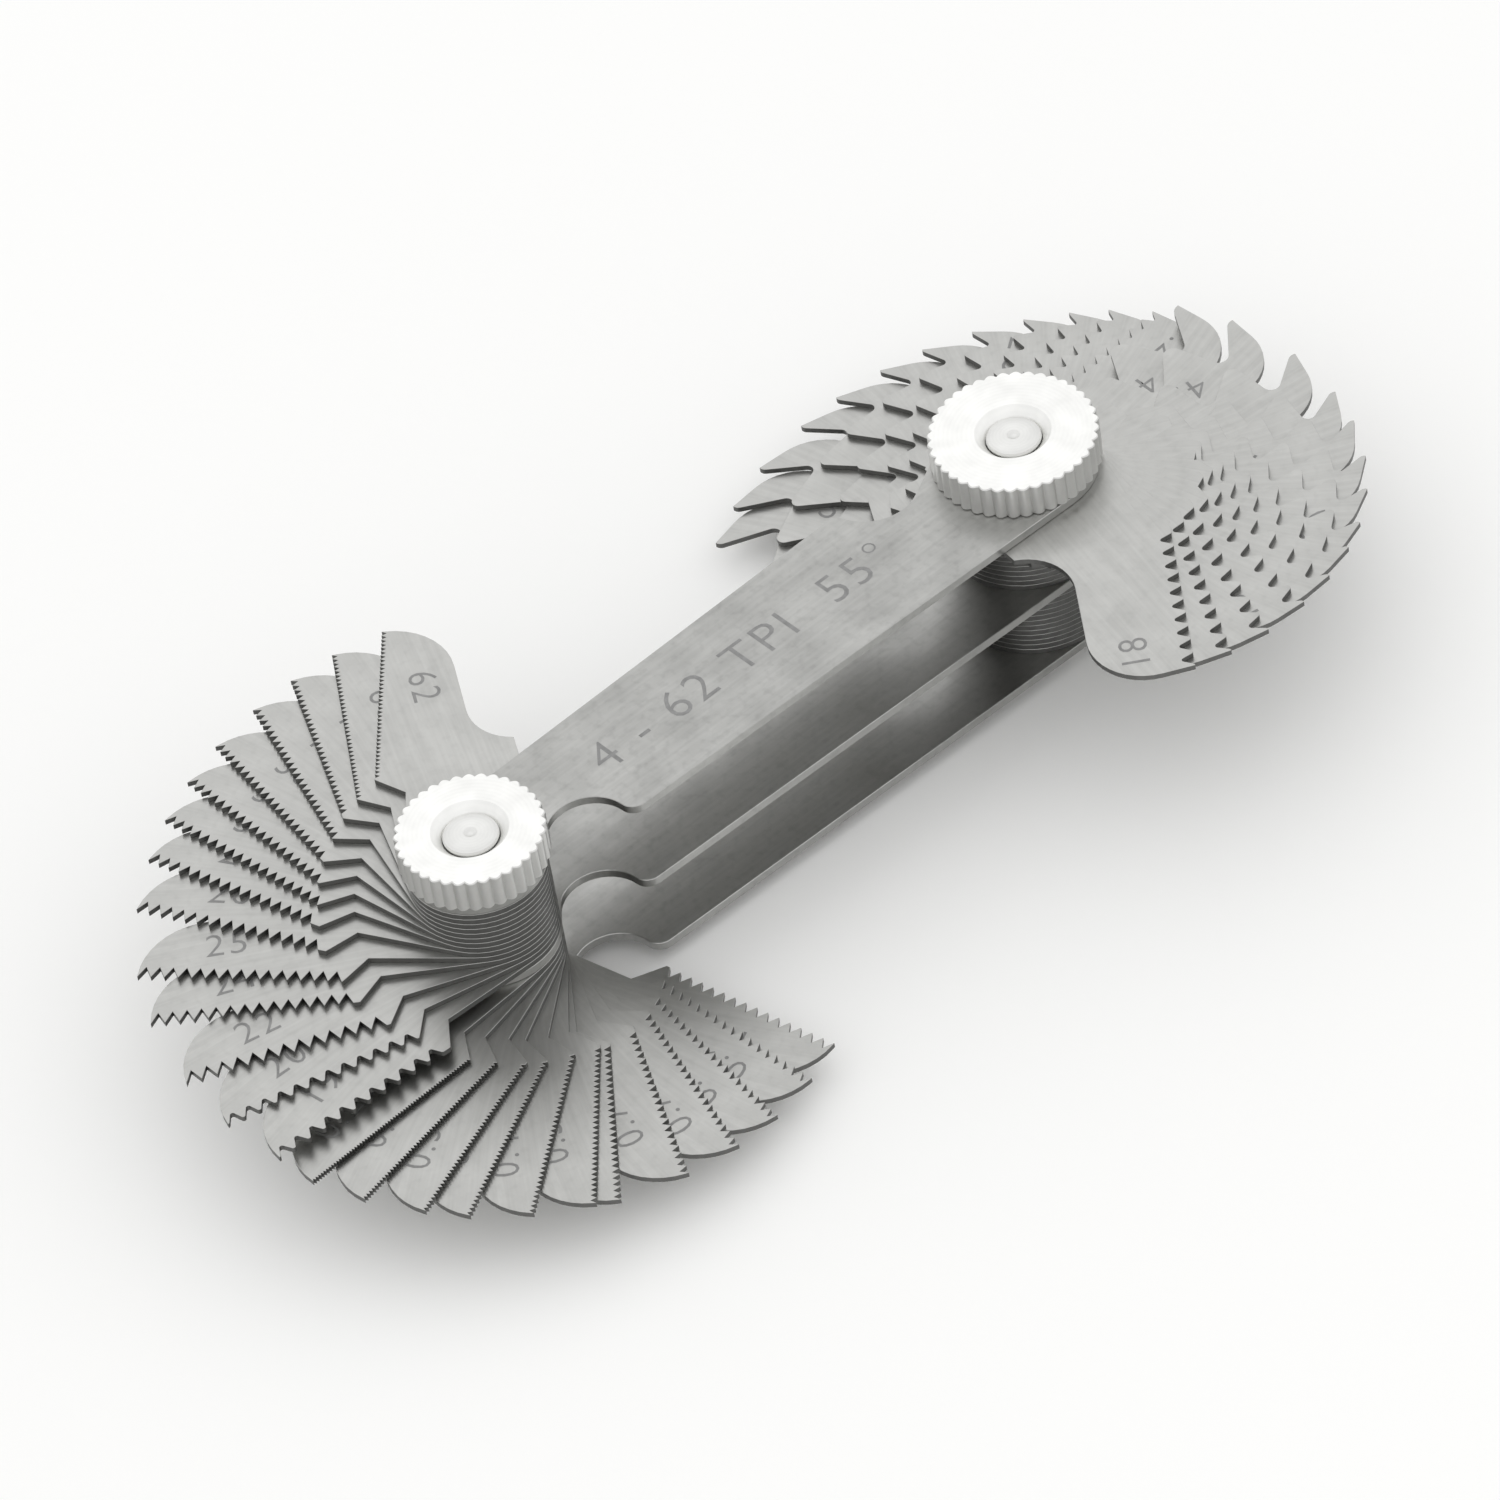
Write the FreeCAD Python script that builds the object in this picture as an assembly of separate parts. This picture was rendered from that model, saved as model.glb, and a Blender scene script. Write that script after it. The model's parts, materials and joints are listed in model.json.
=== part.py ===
# Thread pitch gauge: toothed leaves that fan out on two pivot pins between three plates.
#
# Units are millimetres. The origin is the centre of the left pin head's underside, on which the
# gauge rests. +X runs from the left pivot to the right pivot and +Z points up, towards the nuts.
#
# The upper tier holds the inch leaves (55 degree Whitworth form) and the lower tier the metric
# leaves (60 degree form). Every leaf turns on its own pin, and each fan steps down
# counter-clockwise, so that the toothed edge of every leaf is in view.

import FreeCAD, Part

import os
from math import acos, atan2, cos, degrees, hypot, radians, sin, sqrt, tan

# --- Leaves: pitch -> direction of the leaf's tip in its fan, degrees about the pin -------------
# Inch leaves are named by threads per inch, metric leaves by pitch in millimetres.
LEFT_INCH = {62: 65, 60: 74, 48: 82, 40: 90, 36: 99, 32: 107, 30: 115, 28: 123,
             26: 133, 25: 147, 24: 157, 22: 171, 20: 182, 19: 193}
LEFT_METRIC = {0.25: 199, 0.3: 208, 0.35: 218, 0.4: 225, 0.45: 235, 0.5: 245, 0.6: 249,
               0.7: 261, 0.75: 271, 0.8: 280, 0.9: 290, 1: 299}
RIGHT_INCH = {18: -103, 16: -96, 14: -88, 13: -79, 12: -71, 11: -63, 10: -56, 9: -47,
              8: -38, 7: -28, 6: -19, 5: -6, 4.5: 9, 4: 20}
RIGHT_METRIC = {1.25: 25, 1.5: 33, 1.75: 40, 2: 48, 2.5: 57, 3: 66, 3.5: 74, 4: 83,
                4.5: 91, 5: 102, 5.5: 111, 6: 119}

MM_PER_INCH = 25.4
INCH_THREAD_ANGLE = 55.0
METRIC_THREAD_ANGLE = 60.0
INCH_FLAT_SHARE = 1 / 6         # crest and root flat over pitch
METRIC_FLAT_SHARE = 1 / 8
BLUNT_PITCH = 2.5               # coarser teeth have flats, finer ones run to a point

# --- Leaf sizes ---------------------------------------------------------------------------------
TIP_RADIUS = 25.8               # pivot to the end of the toothed edge
TOOTHED_LENGTH = 15.3
NECK_LENGTH = 2.8               # short edge from the heel of the teeth towards the hub
NECK_TURN = 57.0                # between the toothed edge and the neck edge
BLADE_WIDTH = 7.8               # at the heel, square to the back edge
TIP_RAKE = 16.0                 # the tip edge falls back from square to the radius
SCALLOP_RADIUS = 4.0            # hollow in the back edge, behind the thumb hook
HOOK_ANGLE = 158.0              # where the hollow ends at the hook
LEAF_THICKNESS = 0.48
LEAF_GAP = 0.02                 # running gap between neighbours in the stack

LEFT_HUB_RADIUS = 5.2
LEFT_EDGE_SLOPE = 17.6          # toothed edge against the radius through the tip
LEFT_TAPER = 12.3               # toothed edge against the back edge
LEFT_TIP_ROUND = 5.3
LEFT_SCALLOP_REACH = 15.7       # pivot to the outer end of the hollow

RIGHT_HUB_RADIUS = 6.2
RIGHT_EDGE_SLOPE = 23.7
RIGHT_TAPER = 1.3
RIGHT_TIP_ROUND = 2.6
RIGHT_SCALLOP_REACH = 14.1

# --- Plates, pins and nuts ----------------------------------------------------------------------
TIP_CLEARANCE = 2.4             # between the closed left and right leaves
PLATE_THICKNESS = 0.75
LEFT_NOTCH_RADIUS = 3.2         # thumb notch in the plate edge, beside the hub
LEFT_NOTCH_BEARING = 30.5       # from the plate's centre line
LEFT_NOTCH_STANDOFF = 0.1       # between the hub circle and the notch circle
RIGHT_NOTCH_RADIUS = 3.7
RIGHT_NOTCH_BEARING = 34.0
RIGHT_NOTCH_STANDOFF = 1.3
NOTCH_CORNER_RADIUS = 1.2

PIN_RADIUS = 2.1
PIN_CLEARANCE = 0.05            # radial, in every hole that the pin passes
PIN_HEAD_RADIUS = 4.2
PIN_FOOT_RADIUS = 3.9           # underside of the head
PIN_HEAD_HEIGHT = 1.4
PIN_END_DEPTH = 0.35            # below the nut's face

LEFT_NUT_RADIUS = 5.6
RIGHT_NUT_RADIUS = 6.45
LEFT_NUT_FLUTES = 36
RIGHT_NUT_FLUTES = 40
NUT_HEIGHT = 2.8
FLUTE_DEPTH = 0.28
COUNTERSINK_RADIUS = 2.85
COUNTERSINK_DEPTH = 0.8

# --- Facet counts of the round stretches --------------------------------------------------------
HUB_SIDES = 7
LEAF_HOLE_SIDES = 6
PLATE_HOLE_SIDES = 12
SCALLOP_SIDES = 3
TIP_SIDES = 3
PLATE_END_SIDES = 14
NOTCH_SIDES = 6
CORNER_SIDES = 3

# --- Levels and places that follow from the sizes -----------------------------------------------
PIVOT_SPACING = 2 * TIP_RADIUS + TIP_CLEARANCE
LEAF_STEP = LEAF_THICKNESS + LEAF_GAP
UPPER_SLOT = len(LEFT_INCH) * LEAF_STEP + LEAF_GAP
LOWER_SLOT = len(LEFT_METRIC) * LEAF_STEP + LEAF_GAP
BOTTOM_PLATE_Z = PIN_HEAD_HEIGHT
MIDDLE_PLATE_Z = BOTTOM_PLATE_Z + PLATE_THICKNESS + LOWER_SLOT
TOP_PLATE_Z = MIDDLE_PLATE_Z + PLATE_THICKNESS + UPPER_SLOT
NUT_Z = TOP_PLATE_Z + PLATE_THICKNESS + LEAF_GAP
NUT_TOP_Z = NUT_Z + NUT_HEIGHT
HOLE_RADIUS = PIN_RADIUS + PIN_CLEARANCE

UP = FreeCAD.Vector(0, 0, 1)


def polar(radius, angle, centre=(0, 0)):
    """The point at a radius and an angle in degrees about a centre."""
    turn = radians(angle)
    return centre[0] + radius * cos(turn), centre[1] + radius * sin(turn)


def arc(centre, radius, start, end, sides):
    """Points along an arc from start to end degrees, both ends included."""
    step = (end - start) / sides
    return [polar(radius, start + step * i, centre) for i in range(sides + 1)]


def bearing(point):
    return degrees(atan2(point[1], point[0]))


def tooth_corners(pitch, flank_angle, flat_share):
    """One tooth and the gap after it, as (distance along the edge, depth) pairs."""
    flat = flat_share * pitch if pitch >= BLUNT_PITCH else 0
    flank = pitch / 2 - flat
    depth = flank / tan(radians(flank_angle))
    if not flat:
        return [(0, 0), (flank, depth)]
    return [(0, 0), (flat, 0), (flat + flank, depth), (pitch - flank, depth)]


class LeafForm:
    """The blank that every leaf of one fan is cut from, with its tip on the +X axis."""

    def __init__(self, hub_radius, edge_slope, taper, tip_round, scallop_reach):
        self.hub_radius = hub_radius
        self.along = (-cos(radians(edge_slope)), sin(radians(edge_slope)))
        self.inward = (-self.along[1], self.along[0])
        self.tip = (TIP_RADIUS, 0)
        self.heel = self.edge_point(TOOTHED_LENGTH, 0)
        self.neck = polar(NECK_LENGTH, 180 - edge_slope + NECK_TURN, self.heel)
        self.back_slope = taper - edge_slope
        self.tip_round = tip_round
        self.scallop_reach = scallop_reach

    def edge_point(self, distance, depth):
        """A point on the toothed edge, from the tip towards the heel and into the blade."""
        return (self.tip[0] + self.along[0] * distance + self.inward[0] * depth,
                self.tip[1] + self.along[1] * distance + self.inward[1] * depth)

    def teeth(self, pitch, thread_angle, flat_share):
        """The toothed edge from the tip to the heel."""
        corners = tooth_corners(pitch, thread_angle / 2, flat_share)
        count = int(TOOTHED_LENGTH / pitch)
        points = [self.edge_point(i * pitch + s, d) for i in range(count) for s, d in corners]
        if TOOTHED_LENGTH - count * pitch > LEAF_GAP:
            points.append(self.edge_point(count * pitch, 0))
        return points

    def hub(self, hook):
        """The round hub, tangent to the neck's edge and to the edge that runs to the hook."""
        start = bearing(self.neck) + degrees(acos(self.hub_radius / hypot(*self.neck)))
        end = bearing(hook) - degrees(acos(self.hub_radius / hypot(*hook)))
        return arc((0, 0), self.hub_radius, start, end + 360, HUB_SIDES)

    def back(self):
        """From the thumb hook, round the hollow and along the back edge to the tip."""
        square = 90 + self.back_slope
        reach_out = self.heel[0] * cos(radians(square)) + self.heel[1] * sin(radians(square))
        drop = BLADE_WIDTH - reach_out
        run = sqrt(self.scallop_reach ** 2 - drop ** 2)
        foot = polar(run, self.back_slope, polar(drop, square + 180))
        hollow = polar(SCALLOP_RADIUS, square + 180, foot)
        points = arc(hollow, SCALLOP_RADIUS, HOOK_ANGLE, square, SCALLOP_SIDES)
        return points + self.tip_corner(foot)

    def tip_corner(self, foot):
        """The rounded corner between the back edge and the raked tip edge."""
        rake = radians(TIP_RAKE)
        square_run = (self.tip[0] - foot[0]) * cos(rake) - (self.tip[1] - foot[1]) * sin(rake)
        corner = polar(square_run / cos(radians(self.back_slope) + rake), self.back_slope, foot)
        turn = 90 - TIP_RAKE - self.back_slope
        return round_corner(corner, self.back_slope, turn, self.tip_round)

    def outline(self, pitch, thread_angle, flat_share):
        """The leaf's outline, counter-clockwise from its tip."""
        back = self.back()
        points = self.teeth(pitch, thread_angle, flat_share)
        return points + [self.heel, self.neck] + self.hub(back[0]) + back


def round_corner(corner, heading, turn, radius):
    """Replace a corner, reached on a heading and left after a turn, by an arc."""
    start = polar(radius * tan(radians(turn / 2)), heading + 180, corner)
    centre = polar(radius, heading + 90, start)
    return arc(centre, radius, heading - 90, heading - 90 + turn, TIP_SIDES)


def prism(points, bottom, height):
    """A flat-sided solid standing on an outline."""
    ring = [FreeCAD.Vector(x, y, bottom) for x, y in points]
    wire = Part.makePolygon(ring + ring[:1])
    return Part.Face(wire).extrude(UP * height)


def pin_hole(x, sides, bottom, height):
    """The hole for a pin at x, whose flats clear the pin by the running clearance."""
    corner_radius = HOLE_RADIUS / cos(radians(180 / sides))
    return prism(arc((x, 0), corner_radius, 0, 360, sides)[:-1], bottom, height)


def leaf(form, pitch, thread_angle, flat_share, bottom):
    """One leaf, with the hole for its pin on the Z axis."""
    blank = prism(form.outline(pitch, thread_angle, flat_share), bottom, LEAF_THICKNESS)
    return blank.cut(pin_hole(0, LEAF_HOLE_SIDES, bottom, LEAF_THICKNESS))


def plate_end(radius, far_radius, notch_radius, notch_bearing, standoff):
    """The round end of a plate with its thumb notch, with the far pivot on +X.

    The points run counter-clockwise from the upper side to the lower side.
    """
    lean = (radius - far_radius) / PIVOT_SPACING
    upper = degrees(acos(lean))
    centre = polar(radius + notch_radius + standoff, -notch_bearing)
    touch = -notch_bearing - degrees(acos((radius + notch_radius) / hypot(*centre)))
    # The corner's arc touches the lower side and the notch circle.
    side = (lean, -sqrt(1 - lean ** 2))
    inset = radius - NOTCH_CORNER_RADIUS - side[0] * centre[0] - side[1] * centre[1]
    run = sqrt((notch_radius + NOTCH_CORNER_RADIUS) ** 2 - inset ** 2)
    corner = (centre[0] + side[0] * inset - side[1] * run,
              centre[1] + side[1] * inset + side[0] * run)
    meet = bearing((corner[0] - centre[0], corner[1] - centre[1]))
    points = arc((0, 0), radius, upper, touch + 360, PLATE_END_SIDES)
    points += arc(centre, notch_radius, touch + 180, meet, NOTCH_SIDES)
    return points + arc(corner, NOTCH_CORNER_RADIUS, meet + 180, 360 - upper, CORNER_SIDES)[1:]


def plate(bottom):
    """One of the three plates, notched at both ends and drilled for the pins."""
    left = plate_end(LEFT_HUB_RADIUS, RIGHT_HUB_RADIUS, LEFT_NOTCH_RADIUS, LEFT_NOTCH_BEARING,
                     LEFT_NOTCH_STANDOFF)
    right = plate_end(RIGHT_HUB_RADIUS, LEFT_HUB_RADIUS, RIGHT_NOTCH_RADIUS,
                      RIGHT_NOTCH_BEARING, RIGHT_NOTCH_STANDOFF)
    turned = [(PIVOT_SPACING - x, -y) for x, y in right]
    blank = prism(left + turned, bottom, PLATE_THICKNESS)
    for x in (0, PIVOT_SPACING):
        blank = blank.cut(pin_hole(x, PLATE_HOLE_SIDES, bottom, PLATE_THICKNESS))
    return blank


def pin():
    """A pivot pin: a low head with a slanted rim, and the shank."""
    end = NUT_TOP_Z - PIN_END_DEPTH
    head = Part.makeCone(PIN_FOOT_RADIUS, PIN_HEAD_RADIUS, PIN_HEAD_HEIGHT)
    return head.fuse(Part.makeCylinder(PIN_RADIUS, end)).removeSplitter()


def nut(radius, flutes):
    """A round nut with a straight knurl and a countersunk hole."""
    step = 360 / flutes
    rim = []
    for i in range(flutes):
        rim.append(polar(radius, i * step))
        rim.append(polar(radius - FLUTE_DEPTH, (i + 0.5) * step))
    body = prism(rim, NUT_Z, NUT_HEIGHT)
    hole = Part.makeCylinder(HOLE_RADIUS, NUT_HEIGHT, FreeCAD.Vector(0, 0, NUT_Z))
    sink_place = FreeCAD.Vector(0, 0, NUT_TOP_Z - COUNTERSINK_DEPTH)
    sink = Part.makeCone(HOLE_RADIUS, COUNTERSINK_RADIUS, COUNTERSINK_DEPTH, sink_place)
    return body.cut(hole).cut(sink)


def leaf_name(pitch, unit):
    return "leaf_" + str(pitch).replace(".", "_") + "_" + unit


def fan(parts, form, pivot_x, slot_top, leaves, unit):
    """Stack one fan of leaves downwards from the top of its slot."""
    for i, (pitch, angle) in enumerate(leaves.items()):
        bottom = slot_top - (i + 1) * LEAF_STEP
        if unit == "tpi":
            shape = leaf(form, MM_PER_INCH / pitch, INCH_THREAD_ANGLE, INCH_FLAT_SHARE, bottom)
        else:
            shape = leaf(form, pitch, METRIC_THREAD_ANGLE, METRIC_FLAT_SHARE, bottom)
        shape.rotate(FreeCAD.Vector(), UP, angle)
        shape.translate(FreeCAD.Vector(pivot_x, 0, 0))
        parts[leaf_name(pitch, unit)] = shape


def build():
    """Every piece of the gauge, by node name."""
    parts = {"top_plate": plate(TOP_PLATE_Z),
             "middle_plate": plate(MIDDLE_PLATE_Z),
             "bottom_plate": plate(BOTTOM_PLATE_Z),
             "left_pivot_pin": pin(),
             "right_pivot_pin": pin(),
             "left_nut": nut(LEFT_NUT_RADIUS, LEFT_NUT_FLUTES),
             "right_nut": nut(RIGHT_NUT_RADIUS, RIGHT_NUT_FLUTES)}
    for name in ("right_pivot_pin", "right_nut"):
        parts[name].translate(FreeCAD.Vector(PIVOT_SPACING, 0, 0))
    left = LeafForm(LEFT_HUB_RADIUS, LEFT_EDGE_SLOPE, LEFT_TAPER, LEFT_TIP_ROUND,
                    LEFT_SCALLOP_REACH)
    right = LeafForm(RIGHT_HUB_RADIUS, RIGHT_EDGE_SLOPE, RIGHT_TAPER, RIGHT_TIP_ROUND,
                     RIGHT_SCALLOP_REACH)
    fan(parts, left, 0, TOP_PLATE_Z, LEFT_INCH, "tpi")
    fan(parts, right, PIVOT_SPACING, TOP_PLATE_Z, RIGHT_INCH, "tpi")
    fan(parts, left, 0, MIDDLE_PLATE_Z, LEFT_METRIC, "mm")
    fan(parts, right, PIVOT_SPACING, MIDDLE_PLATE_Z, RIGHT_METRIC, "mm")
    return parts


os.makedirs("parts", exist_ok=True)
for part_name, solid in build().items():
    solid.exportStep(os.path.join("parts", part_name + ".step"))
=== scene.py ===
"""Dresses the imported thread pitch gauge: stamped leaves, notched plates, knurled nuts and pins."""

import json
from math import acos, atan2, ceil, cos, degrees, hypot, pi, radians, sin, sqrt, tan

import bmesh
import bpy
from mathutils import Matrix, Vector


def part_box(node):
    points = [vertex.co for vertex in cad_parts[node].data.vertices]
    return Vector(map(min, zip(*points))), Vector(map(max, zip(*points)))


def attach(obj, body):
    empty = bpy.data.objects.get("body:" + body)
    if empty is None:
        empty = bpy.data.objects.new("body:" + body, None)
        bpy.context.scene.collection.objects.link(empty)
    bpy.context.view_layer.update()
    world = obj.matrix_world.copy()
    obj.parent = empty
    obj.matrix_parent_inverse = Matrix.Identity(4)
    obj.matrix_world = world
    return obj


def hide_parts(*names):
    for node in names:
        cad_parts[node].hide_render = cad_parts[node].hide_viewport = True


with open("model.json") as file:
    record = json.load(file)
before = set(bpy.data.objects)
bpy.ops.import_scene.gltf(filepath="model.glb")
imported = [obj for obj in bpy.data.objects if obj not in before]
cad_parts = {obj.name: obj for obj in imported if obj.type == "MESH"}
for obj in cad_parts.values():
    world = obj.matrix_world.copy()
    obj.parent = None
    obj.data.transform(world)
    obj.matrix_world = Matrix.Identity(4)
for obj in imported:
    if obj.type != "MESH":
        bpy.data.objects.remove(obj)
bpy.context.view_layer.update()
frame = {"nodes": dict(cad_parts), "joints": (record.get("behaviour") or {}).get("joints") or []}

# Sizes are in millimetres and angles in degrees unless a name says otherwise.
MM = 0.001
MM_PER_INCH = 25.4
ARC_STEP = 9.0                  # degrees between the points of a round stretch

# --- Leaves ---
TIP_RADIUS = 25.8
TOOTHED_LENGTH = 15.3
NECK_LENGTH = 2.8
NECK_TURN = 57.0
BLADE_WIDTH = 7.8
TIP_RAKE = 16.0
SCALLOP_RADIUS = 4.0
HOOK_ANGLE = 158.0
LEAF_RIM = 0.02                 # chamfer along a leaf's edges
WALL_TILT = 0.3                 # a face with less of its normal along Z is part of the edge, and takes the edge's painted shade
LEFT_FAN = {"hub": 5.2, "edge_slope": 17.6, "taper": 12.3, "tip_round": 5.3, "reach": 15.7}
RIGHT_FAN = {"hub": 6.2, "edge_slope": 23.7, "taper": 1.3, "tip_round": 4.5, "reach": 14.1}
LEFT_CLOSED = 6.0               # direction of a folded leaf's tip
RIGHT_CLOSED = 180.0
INCH_HALF_ANGLE = 27.5
METRIC_HALF_ANGLE = 30.0
INCH_ROUND_SHARE = 0.1373       # crest and root radius over pitch
METRIC_ROUND_SHARE = 0.108
ROUND_STEPS = 4                 # points on each half of a crest or root
SHARP_PITCH = 1.2               # finer teeth run to a point
DEEP_PITCH = 3.0                # above this the teeth leave no room for a number at the tip
LEFT_NUMBER = (19.0, -1.3)      # centre of a leaf's number
RIGHT_NUMBER = (22.2, -2.9)
DEEP_NUMBER = (17.2, -1.6)
NUMBER_HEIGHT = 2.2
NUMBER_STANDOFF = 0.004         # how far a number stands off its face
CAPITAL_SHARE = 0.7             # height of a capital over the font's size
PLATE_WORDS = "4 - 62 TPI  55°"
PLATE_WORDS_HEIGHT = 3.0
PLATE_WORDS_CENTRE = (26.5, 0.2)

# --- Plates, nuts and pins ---
PLATE_RIM = 0.05
LEFT_END = {"radius": 5.2, "notch": 3.2, "bearing": 30.5, "standoff": 0.1}
RIGHT_END = {"radius": 6.2, "notch": 3.7, "bearing": 34.0, "standoff": 1.3}
NOTCH_CORNER = 1.2
PIN_RADIUS = 2.1
BORE_RADIUS = 2.15
FLUTES = {"left_nut": 36, "right_nut": 40}
FLUTE_DEPTH = 0.28
FLUTE_POINTS = 8
NUT_RIM = 0.08
KNURL_SHADE_BAND = 0.3                # the knurl's painted shade starts this far inside its grooves
FLAT_TILT = 0.9                 # a face with more of its normal along Z is flat
COUNTERSINK_RADIUS = 2.85
COUNTERSINK_DEPTH = 0.8

# --- Floor and camera ---
FLOOR_HALF_METRES = 3.0
CAMERA_ANGLES = (55.087, 45.109, 10.158)    # heading, angle below the horizon, roll
CAMERA_AIM = (20.374, -7.321)   # on the top plate's face
CAMERA_DISTANCE = 722.84
SENSOR_WIDTH = 36
LENS = 238.74

joints = {j["child"]: j for j in frame["joints"]}
PIVOT_SPACING = joints["right_nut"]["pos_m"][0] / MM


# --- Outlines ---

def polar(radius, angle, centre=(0, 0)):
    turn = radians(angle)
    return centre[0] + radius * cos(turn), centre[1] + radius * sin(turn)


def arc(centre, radius, start, end):
    """Points along an arc from start to end degrees, both ends included."""
    sides = max(2, ceil(abs(end - start) / ARC_STEP))
    return [polar(radius, start + (end - start) * i / sides, centre) for i in range(sides + 1)]


def bearing(point):
    return degrees(atan2(point[1], point[0]))


def tooth(pitch, half_angle, share):
    """One tooth from crest to crest, as (distance along the edge, depth) pairs."""
    flank = radians(half_angle)
    r = share * pitch
    depth = (pitch / 2 - 2 * r * cos(flank)) / tan(flank) + 2 * r * (1 - sin(flank))
    crest = [(0.0, 0.0)]
    if r:
        steps = [(pi / 2 - flank) * i / ROUND_STEPS for i in range(ROUND_STEPS + 1)]
        crest = [(r * sin(a), r - r * cos(a)) for a in steps]
    fall = crest + [(pitch / 2 - s, depth - d) for s, d in reversed(crest)]
    return fall + [(pitch - s, d) for s, d in reversed(fall[1:-1])]


def leaf_outline(fan, pitch, half_angle, share):
    """A leaf with its tip on +X and its pin at the origin, counter-clockwise."""
    slope = fan["edge_slope"]
    along = (-cos(radians(slope)), sin(radians(slope)))
    inward = (-along[1], along[0])
    heel = (TIP_RADIUS + along[0] * TOOTHED_LENGTH, along[1] * TOOTHED_LENGTH)
    neck = polar(NECK_LENGTH, 180 - slope + NECK_TURN, heel)
    count = int(TOOTHED_LENGTH / pitch)
    teeth = [(i * pitch + s, d) for i in range(count) for s, d in tooth(pitch, half_angle, share)]
    teeth.append((count * pitch, 0))
    points = [(TIP_RADIUS + along[0] * s + inward[0] * d, along[1] * s + inward[1] * d)
              for s, d in teeth]
    if TOOTHED_LENGTH - count * pitch > LEAF_RIM:
        points.append(heel)
    back = back_outline(fan, heel)
    start = bearing(neck) + degrees(acos(fan["hub"] / hypot(*neck)))
    end = bearing(back[0]) - degrees(acos(fan["hub"] / hypot(*back[0])))
    return points + [neck] + arc((0, 0), fan["hub"], start, end + 360) + back


def back_outline(fan, heel):
    """From the thumb hook, round the hollow and along the back edge to the tip's corner."""
    heading = fan["taper"] - fan["edge_slope"]
    square = heading + 90
    drop = BLADE_WIDTH - heel[0] * cos(radians(square)) - heel[1] * sin(radians(square))
    run = sqrt(fan["reach"] ** 2 - drop ** 2)
    foot = polar(run, heading, polar(drop, square + 180))
    hollow = polar(SCALLOP_RADIUS, square + 180, foot)
    rake = radians(TIP_RAKE)
    gap = (TIP_RADIUS - foot[0]) * cos(rake) + foot[1] * sin(rake)
    corner = polar(gap / cos(radians(heading) + rake), heading, foot)
    turn = 90 - TIP_RAKE - heading
    radius = fan["tip_round"]
    begin = polar(radius * tan(radians(turn / 2)), heading + 180, corner)
    centre = polar(radius, heading + 90, begin)
    return (arc(hollow, SCALLOP_RADIUS, HOOK_ANGLE, square)
            + arc(centre, radius, heading - 90, heading - 90 + turn))


def plate_end(end, far_radius):
    """The round end of a plate and its thumb notch, with the far pivot on +X."""
    radius, notch = end["radius"], end["notch"]
    lean = (radius - far_radius) / PIVOT_SPACING
    upper = degrees(acos(lean))
    centre = polar(radius + notch + end["standoff"], -end["bearing"])
    touch = -end["bearing"] - degrees(acos((radius + notch) / hypot(*centre)))
    side = (lean, -sqrt(1 - lean ** 2))
    inset = radius - NOTCH_CORNER - side[0] * centre[0] - side[1] * centre[1]
    run = sqrt((notch + NOTCH_CORNER) ** 2 - inset ** 2)
    corner = (centre[0] + side[0] * inset - side[1] * run,
              centre[1] + side[1] * inset + side[0] * run)
    meet = bearing((corner[0] - centre[0], corner[1] - centre[1]))
    return (arc((0, 0), radius, upper, touch + 360) + arc(centre, notch, touch + 180, meet)
            + arc(corner, NOTCH_CORNER, meet + 180, 360 - upper)[1:])


def plate_outline():
    left = plate_end(LEFT_END, RIGHT_END["radius"])
    right = plate_end(RIGHT_END, LEFT_END["radius"])
    return left + [(PIVOT_SPACING - x, -y) for x, y in right]


def circle(x, radius, sides=48):
    return [polar(radius, 360 * i / sides, (x, 0)) for i in range(sides)]


# --- Meshes ---

def inset(points, width):
    """The outline moved to its left by a width, with mitred corners."""
    moved = []
    for before, here, after in zip(points[-1:] + points[:-1], points, points[1:] + points[:1]):
        a = (Vector(here) - Vector(before)).normalized()
        b = (Vector(after) - Vector(here)).normalized()
        normals = Vector((-a.y - b.y, a.x + b.x))
        moved.append(Vector(here) + normals * width / (1 + a.dot(b)))
    return [tuple(p) for p in moved]


def ring(mesh, points, z):
    return [mesh.verts.new((x * MM, y * MM, z * MM)) for x, y in points]


def band(mesh, low, high):
    """The wall between two rings of equally many points."""
    for i in range(len(low)):
        j = (i + 1) % len(low)
        mesh.faces.new((low[i], low[j], high[j], high[i]))


def cap(mesh, rings):
    """The flat face inside the first ring and outside the others."""
    edges = []
    for loop in rings:
        for i in range(len(loop)):
            pair = (loop[i - 1], loop[i])
            edges.append(mesh.edges.get(pair) or mesh.edges.new(pair))
    bmesh.ops.triangle_fill(mesh, use_beauty=True, edges=edges)


def rimmed_wall(mesh, points, height, rim):
    """A wall on an outline with a chamfer at both ends. Returns the end rings."""
    narrow = inset(points, rim)
    rings = [ring(mesh, narrow, 0), ring(mesh, points, rim),
             ring(mesh, points, height - rim), ring(mesh, narrow, height)]
    for low, high in zip(rings, rings[1:]):
        band(mesh, low, high)
    return rings[0], rings[-1]


def sheet_metal(name, outline, holes, height, rim):
    """A flat piece that stands on z = 0, with holes."""
    mesh = bmesh.new()
    loops = [outline] + [list(reversed(hole)) for hole in holes]
    ends = [rimmed_wall(mesh, points, height, rim) for points in loops]
    for level in zip(*ends):
        cap(mesh, level)
    return finished(name, mesh)


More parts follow.
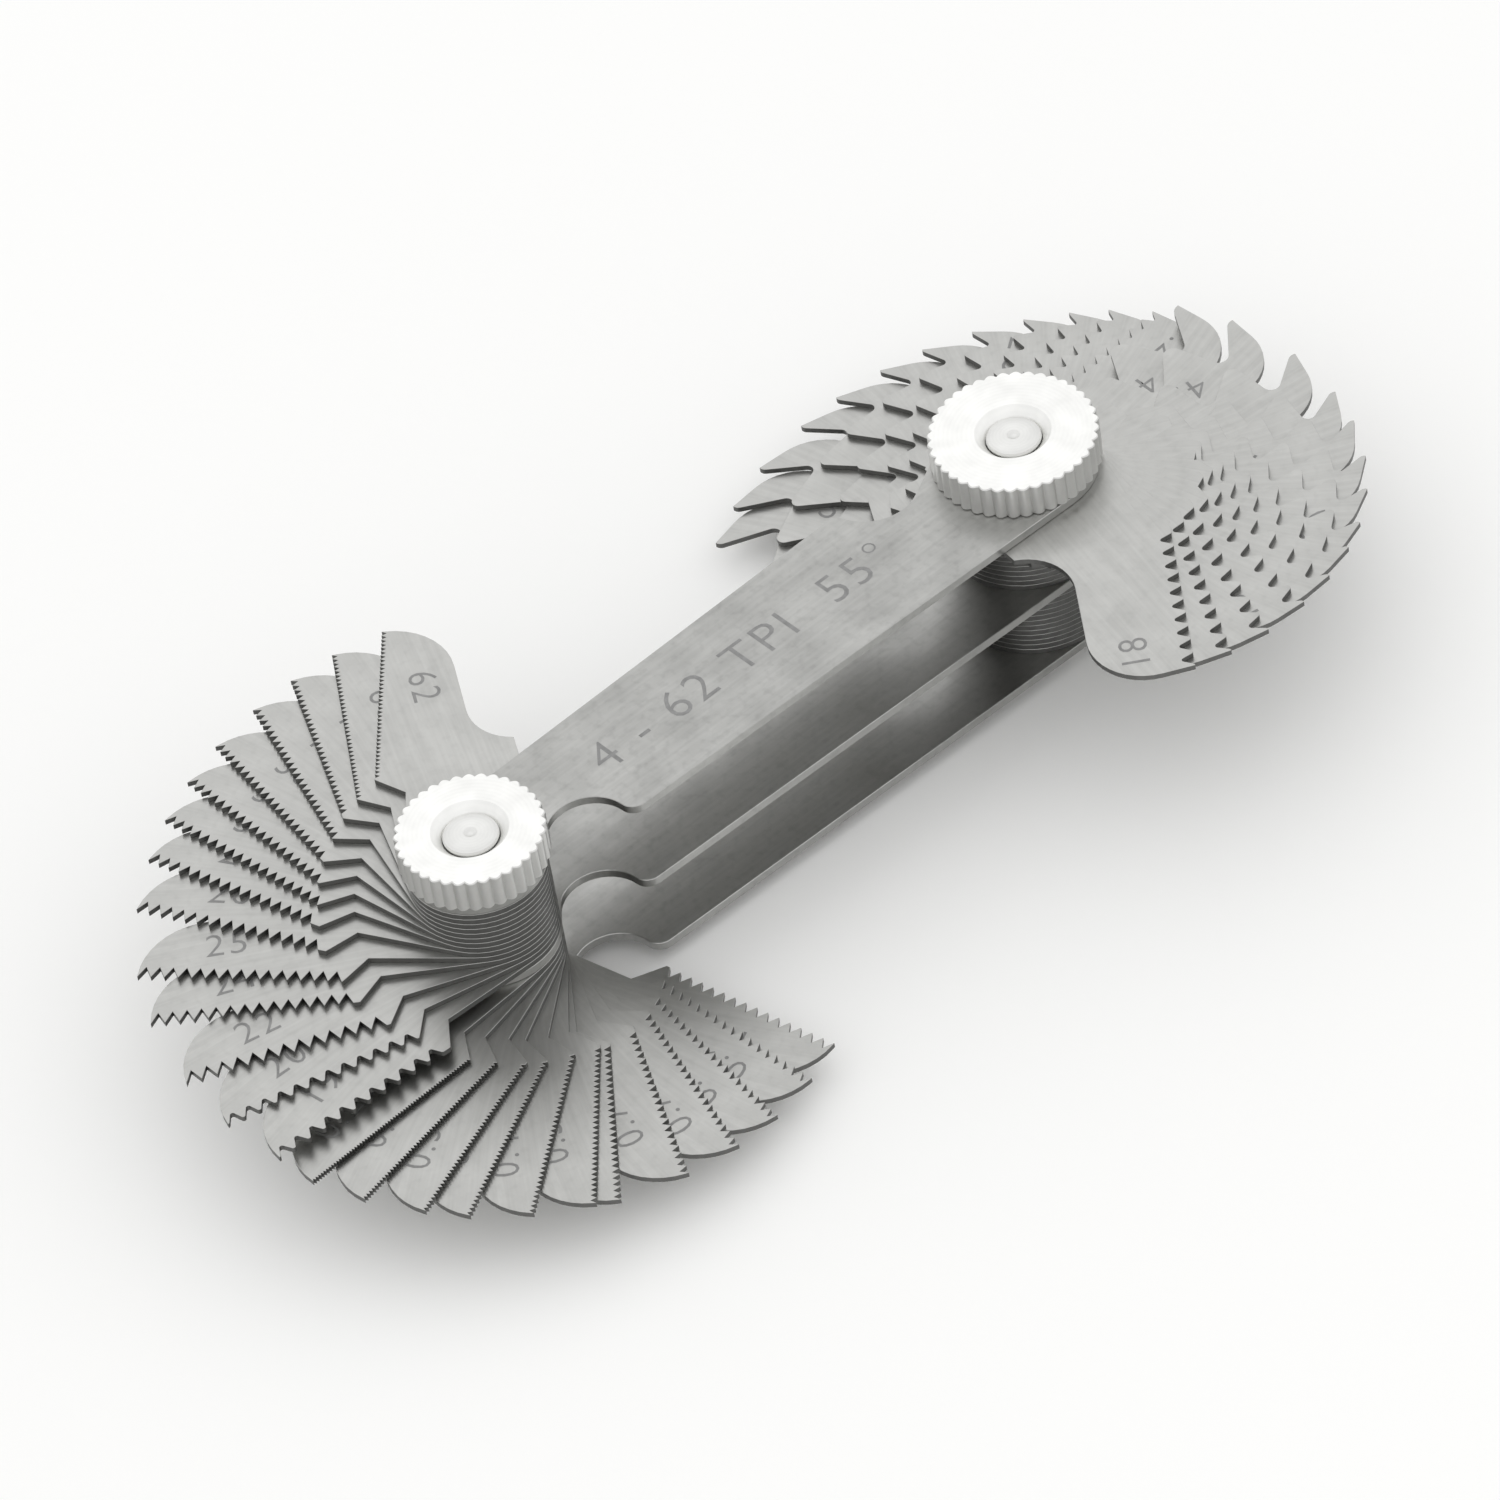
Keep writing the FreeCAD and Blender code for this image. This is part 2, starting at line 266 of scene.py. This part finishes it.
def lathed(name, profile, sides=64):
    """A solid of revolution from (radius, z) pairs that start and end on the axis."""
    mesh = bmesh.new()
    rings = [ring(mesh, circle(0, r, sides), z) for r, z in profile[1:-1]]
    for low, high in zip(rings, rings[1:]):
        band(mesh, low, high)
    for loop, (_, z) in ((rings[0], profile[0]), (rings[-1], profile[-1])):
        centre = mesh.verts.new((0, 0, z * MM))
        for i in range(sides):
            mesh.faces.new((loop[i - 1], loop[i], centre))
    return finished(name, mesh)


def finished(name, mesh, smooth_below=28):
    """The object of a bmesh, smooth across its shallow edges."""
    bmesh.ops.recalc_face_normals(mesh, faces=mesh.faces)
    data = bpy.data.meshes.new(name)
    mesh.to_mesh(data)
    mesh.free()
    for face in data.polygons:
        face.use_smooth = True
    data.set_sharp_from_angle(angle=radians(smooth_below))
    piece = bpy.data.objects.new(name, data)
    bpy.context.scene.collection.objects.link(piece)
    return piece


def seat(piece, node, x=0.0, turn=0.0):
    """Puts a piece where its CAD node is: on its pin, at its level, turned about the pin."""
    low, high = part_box(node)
    piece.matrix_world = Matrix.Translation((x * MM, 0, low.z)) @ Matrix.Rotation(
        radians(turn), 4, "Z")
    return piece


def dress(piece, node, body, slot, *materials):
    for material in materials:
        piece.data.materials.append(material)
    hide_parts(node)
    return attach(piece, body)


def thickness(node):
    low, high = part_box(node)
    return (high.z - low.z) / MM


# --- Materials ---

class Nodes:
    """A material's node tree with short ways to add and join nodes."""

    def __init__(self, name):
        self.material = bpy.data.materials.new(name)
        self.material.use_nodes = True
        self.tree = self.material.node_tree
        self.shader = self.tree.nodes["Principled BSDF"]

    def add(self, kind, links=(), **values):
        node = self.tree.nodes.new(kind)
        for key, value in values.items():
            if hasattr(node, key):
                setattr(node, key, value)
            else:
                node.inputs[key].default_value = value
        for socket, source in dict(links).items():
            self.tree.links.new(source, node.inputs[socket])
        return node

    def place(self, scale=(1, 1, 1)):
        """The piece's own coordinates, stretched."""
        where = self.add("ShaderNodeTexCoord").outputs["Object"]
        return self.add("ShaderNodeMapping", {"Vector": where}, Scale=scale).outputs[0]

    def noise(self, scale, stretch=(1, 1, 1), detail=4.0):
        found = self.add("ShaderNodeTexNoise", {"Vector": self.place(stretch)},
                         Scale=scale, Detail=detail)
        return found.outputs["Fac"]

    def ramp(self, source, *stops):
        """A colour ramp through (position, grey level) stops."""
        node = self.add("ShaderNodeValToRGB", {"Fac": source})
        band_stops = node.color_ramp.elements
        while len(band_stops) < len(stops):
            band_stops.new(0.5)
        for element, (position, grey) in zip(band_stops, stops):
            element.position = position
            element.color = (grey, grey, grey * 0.99, 1)
        return node.outputs["Color"]

    def multiply(self, a, b, share=1.0):
        node = self.add("ShaderNodeMix", data_type="RGBA", blend_type="MULTIPLY")
        node.inputs["Factor"].default_value = share
        self.tree.links.new(a, node.inputs[6])
        self.tree.links.new(b, node.inputs[7])
        return node.outputs[2]

    def finish(self, colour, roughness, height=None, bump=0.1, metallic=1.0):
        self.shader.inputs["Metallic"].default_value = metallic
        self.tree.links.new(colour, self.shader.inputs["Base Color"])
        self.tree.links.new(roughness, self.shader.inputs["Roughness"])
        if height is not None:
            node = self.add("ShaderNodeBump", {"Height": height}, Strength=bump, Distance=MM * 0.02)
            self.tree.links.new(node.outputs[0], self.shader.inputs["Normal"])
        return self.material


def ground_steel(name, tone, rough, stain):
    """Sheet steel, ground along the piece, with faint stains."""
    n = Nodes(name)
    grain = n.noise(900, (0.12, 3, 1), 3)
    cloud = n.noise(260, detail=6)
    blotch = n.noise(1400, detail=2)
    colour = n.ramp(grain, (0.3, tone * 0.93), (0.7, tone * 1.04))
    colour = n.multiply(colour, n.ramp(cloud, (0.3, 1 - stain), (0.62, 1.0)))
    colour = n.multiply(colour, n.ramp(blotch, (0.25, 1 - stain), (0.5, 1.0)))
    roughness = n.ramp(cloud, (0.3, rough + 0.07), (0.7, rough - 0.05))
    return n.finish(colour, roughness, grain, 0.35)


def turned_steel(name, tone, rough, ring_scale):
    """Bright steel with the fine rings that a lathe leaves round the piece's axis."""
    n = Nodes(name)
    rings = n.add("ShaderNodeTexWave", {"Vector": n.place()}, wave_type="RINGS",
                  rings_direction="Z", Scale=ring_scale, Distortion=1.2, Detail=3.0).outputs["Fac"]
    cloud = n.noise(500)
    colour = n.ramp(rings, (0.1, tone * 0.98), (0.8, tone))
    colour = n.multiply(colour, n.ramp(cloud, (0.3, 0.93), (0.6, 1.0)))
    roughness = n.ramp(cloud, (0.3, rough + 0.06), (0.7, rough - 0.04))
    return n.finish(colour, roughness, rings, 0.08)


def stamped_mark(name):
    """The darker, matt bottom of a stamped number."""
    n = Nodes(name)
    cloud = n.noise(1500)
    return n.finish(n.ramp(cloud, (0.3, 0.26), (0.7, 0.36)), n.ramp(cloud, (0, 0.5), (1, 0.65)))


LEAF_STEEL = ground_steel("leaf_steel", 0.52, 0.34, 0.06)
# The leaves' side walls are painted near black: painted shade for the dark lines between the stacked
# leaves.
LEAF_WALL_PAINTED_SHADE = ground_steel("leaf_wall_painted_shade", 0.16, 0.45, 0.12)
PLATE_STEEL = ground_steel("plate_steel", 0.46, 0.36, 0.12)
# The nut's top face is painted near white and its knurled side darker: painted light on the top,
# painted shade on the side, of one turned steel.
NUT_FACE_PAINTED_LIGHT = turned_steel("nut_face_painted_light", 0.93, 0.34, 900)
NUT_KNURL_PAINTED_SHADE = turned_steel("nut_knurl_painted_shade", 0.72, 0.38, 500)
PIN_STEEL = turned_steel("pin_steel", 0.8, 0.32, 1200)
MARK = stamped_mark("stamped_mark")


# --- Pieces ---

def number(name, words, height, centre, turn, level):
    """Stamped characters, flat on a face at a level."""
    text = bpy.data.curves.new(name, "FONT")
    text.body = words
    text.size = height / CAPITAL_SHARE * MM
    text.align_x = "CENTER"
    text.align_y = "CENTER"
    text.offset = -0.012 * height * MM
    text.space_character = 1.12
    text.resolution_u = 3
    flat = bpy.data.objects.new(name + "_text", text)
    bpy.context.scene.collection.objects.link(flat)
    bpy.context.view_layer.update()
    data = bpy.data.meshes.new_from_object(flat.evaluated_get(
        bpy.context.evaluated_depsgraph_get()))
    bpy.data.objects.remove(flat)
    data.name = name
    data.materials.append(MARK)
    piece = bpy.data.objects.new(name, data)
    bpy.context.scene.collection.objects.link(piece)
    spot = Vector((centre[0], centre[1], level + NUMBER_STANDOFF)) * MM
    piece.matrix_world = Matrix.Translation(spot) @ Matrix.Rotation(radians(turn), 4, "Z")
    return piece


def leaf(node):
    """One leaf, from its node's name and joint."""
    words, unit = node[len("leaf_"):].rsplit("_", 1)
    size = float(words.replace("_", "."))
    pitch = MM_PER_INCH / size if unit == "tpi" else size
    half_angle = INCH_HALF_ANGLE if unit == "tpi" else METRIC_HALF_ANGLE
    share = INCH_ROUND_SHARE if unit == "tpi" else METRIC_ROUND_SHARE
    if pitch < SHARP_PITCH:
        share = 0
    joint = joints[node]
    x = joint["pos_m"][0] / MM
    left = x < PIVOT_SPACING / 2
    fan = LEFT_FAN if left else RIGHT_FAN
    turn = LEFT_CLOSED - joint["range_deg"][0] if left else RIGHT_CLOSED - joint["range_deg"][1]
    outline = leaf_outline(fan, pitch, half_angle, share)
    height = thickness(node)
    piece = sheet_metal("dressed_" + node, outline, [circle(0, BORE_RADIUS)], height, LEAF_RIM)
    seat(piece, node, x, turn)
    # Side walls take the second material, the painted shade.
    for face in piece.data.polygons:
        face.material_index = int(abs(face.normal.z) < WALL_TILT)
    dress(piece, node, node, "leaf_steel", LEAF_STEEL, LEAF_WALL_PAINTED_SHADE)
    slope = fan["taper"] - fan["edge_slope"]
    spot = LEFT_NUMBER if left else RIGHT_NUMBER if pitch < DEEP_PITCH else DEEP_NUMBER
    mark = number("number_" + node, format(size, "g"), NUMBER_HEIGHT, spot, 180 + slope, height)
    mark.matrix_world = piece.matrix_world @ mark.matrix_world
    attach(mark, node)


def plate(node):
    outline = plate_outline()
    bores = [circle(0, BORE_RADIUS), circle(PIVOT_SPACING, BORE_RADIUS)]
    piece = sheet_metal("dressed_" + node, outline, bores, thickness(node), PLATE_RIM)
    dress(seat(piece, node), node, "frame", "plate_steel", PLATE_STEEL)


def plate_words():
    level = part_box("top_plate")[1].z / MM
    words = number("top_plate_words", PLATE_WORDS, PLATE_WORDS_HEIGHT, PLATE_WORDS_CENTRE, 0, level)
    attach(words, "frame")


def nut(node):
    """A knurled nut with its countersunk bore."""
    low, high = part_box(node)
    radius = (high.x - low.x) / 2 / MM
    height = thickness(node)
    count = FLUTES[node] * FLUTE_POINTS
    rim = [polar(radius - FLUTE_DEPTH * (1 - abs(cos(pi * i / FLUTE_POINTS))), 360 * i / count)
           for i in range(count)]
    mesh = bmesh.new()
    bottom, top = rimmed_wall(mesh, rim, height, NUT_RIM)
    bore = [(BORE_RADIUS, 0), (BORE_RADIUS, height - COUNTERSINK_DEPTH),
            (COUNTERSINK_RADIUS, height - 0.03), (COUNTERSINK_RADIUS + 0.05, height)]
    rings = [ring(mesh, circle(0, r), z) for r, z in bore]
    for lower, upper in zip(rings, rings[1:]):
        band(mesh, lower, upper)
    cap(mesh, (bottom, rings[0]))
    cap(mesh, (top, rings[-1]))
    piece = finished("dressed_" + node, mesh)
    # Knurled side faces take the second material, painted shade; the top faces keep the painted
    # light.
    reach = (radius - FLUTE_DEPTH - KNURL_SHADE_BAND) * MM
    for face in piece.data.polygons:
        outer = face.center.xy.length > reach
        face.material_index = int(outer and abs(face.normal.z) < FLAT_TILT)
    seat(piece, node, joints[node]["pos_m"][0] / MM)
    dress(piece, node, node, "nut_steel", NUT_FACE_PAINTED_LIGHT, NUT_KNURL_PAINTED_SHADE)


def pin(node):
    """A pin with a low head, a shank and a rounded, punched end."""
    low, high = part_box(node)
    x = (low.x + high.x) / 2 / MM
    head_radius = (high.x - low.x) / 2 / MM
    head_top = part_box("bottom_plate")[0].z / MM
    end = high.z / MM
    profile = [(0, 0), (head_radius - 0.35, 0), (head_radius - 0.2, 0.1),
               (head_radius, head_top - 0.1), (head_radius - 0.1, head_top),
               (PIN_RADIUS, head_top), (PIN_RADIUS, end - 0.28), (PIN_RADIUS - 0.1, end - 0.12),
               (PIN_RADIUS - 0.32, end - 0.04), (PIN_RADIUS * 0.5, end), (0.5, end),
               (0.42, end - 0.06), (0.25, end - 0.12), (0, end - 0.2)]
    piece = lathed("dressed_" + node, profile)
    seat(piece, node, x)
    dress(piece, node, "frame", "pin_steel", PIN_STEEL)


for node in sorted(frame["nodes"]):
    if node.startswith("leaf_"):
        leaf(node)
    elif node.endswith("_plate"):
        plate(node)
    elif node.endswith("_nut"):
        nut(node)
    else:
        pin(node)
plate_words()


# --- Floor, light and camera ---

def add_floor():
    """A pale floor under the pins' heads."""
    data = bpy.data.meshes.new("floor")
    half = FLOOR_HALF_METRES
    corners = [(-half, -half, 0), (half, -half, 0), (half, half, 0), (-half, half, 0)]
    data.from_pydata(corners, [], [(0, 1, 2, 3)])
    floor = bpy.data.objects.new("floor", data)
    bpy.context.scene.collection.objects.link(floor)
    n = Nodes("floor")
    tone = n.ramp(n.noise(3), (0.3, 0.97), (0.7, 0.99))
    n.shader.inputs["Specular IOR Level"].default_value = 0.0
    data.materials.append(n.finish(tone, n.ramp(n.noise(40), (0, 0.8), (1, 0.9)), metallic=0.0))


def add_world():
    world = bpy.data.worlds.new("studio")
    bpy.context.scene.world = world
    world.use_nodes = True
    background = world.node_tree.nodes["Background"]
    background.inputs["Color"].default_value = (1, 1, 1, 1)
    background.inputs["Strength"].default_value = 1.0


def add_softbox(name, place, aim, size, watts):
    """A soft rectangular lamp at a place, turned to a point, all in metres."""
    light = bpy.data.lights.new(name, "AREA")
    light.shape = "RECTANGLE"
    light.size, light.size_y = size
    light.energy = watts
    lamp = bpy.data.objects.new(name, light)
    bpy.context.scene.collection.objects.link(lamp)
    lamp.location = place
    lamp.rotation_euler = (Vector(aim) - Vector(place)).to_track_quat("-Z", "Y").to_euler()


def add_camera():
    """Looks down on the gauge from beyond its left end, a little rolled."""
    azimuth, elevation, roll = (radians(angle) for angle in CAMERA_ANGLES)
    aim = Vector((CAMERA_AIM[0] * MM, CAMERA_AIM[1] * MM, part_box("top_plate")[1].z))
    forward = Vector((cos(azimuth) * cos(elevation), sin(azimuth) * cos(elevation),
                      -sin(elevation)))
    right = Vector((sin(azimuth), -cos(azimuth), 0))
    up = right.cross(forward)
    rolled_right = right * cos(roll) - up * sin(roll)
    rolled_up = right * sin(roll) + up * cos(roll)
    data = bpy.data.cameras.new("camera")
    data.sensor_width = SENSOR_WIDTH
    data.lens = LENS
    camera = bpy.data.objects.new("camera", data)
    bpy.context.scene.collection.objects.link(camera)
    turn = Matrix((rolled_right, rolled_up, -forward)).transposed()
    camera.matrix_world = Matrix.Translation(aim - forward * CAMERA_DISTANCE * MM) @ turn.to_4x4()
    bpy.context.scene.camera = camera


add_floor()
add_world()
add_softbox("key", (0.25, 0.35, 0.5), (0.03, 0, 0.01), (0.3, 0.3), 0.05)
add_camera()
bpy.context.scene.view_settings.view_transform = "Standard"
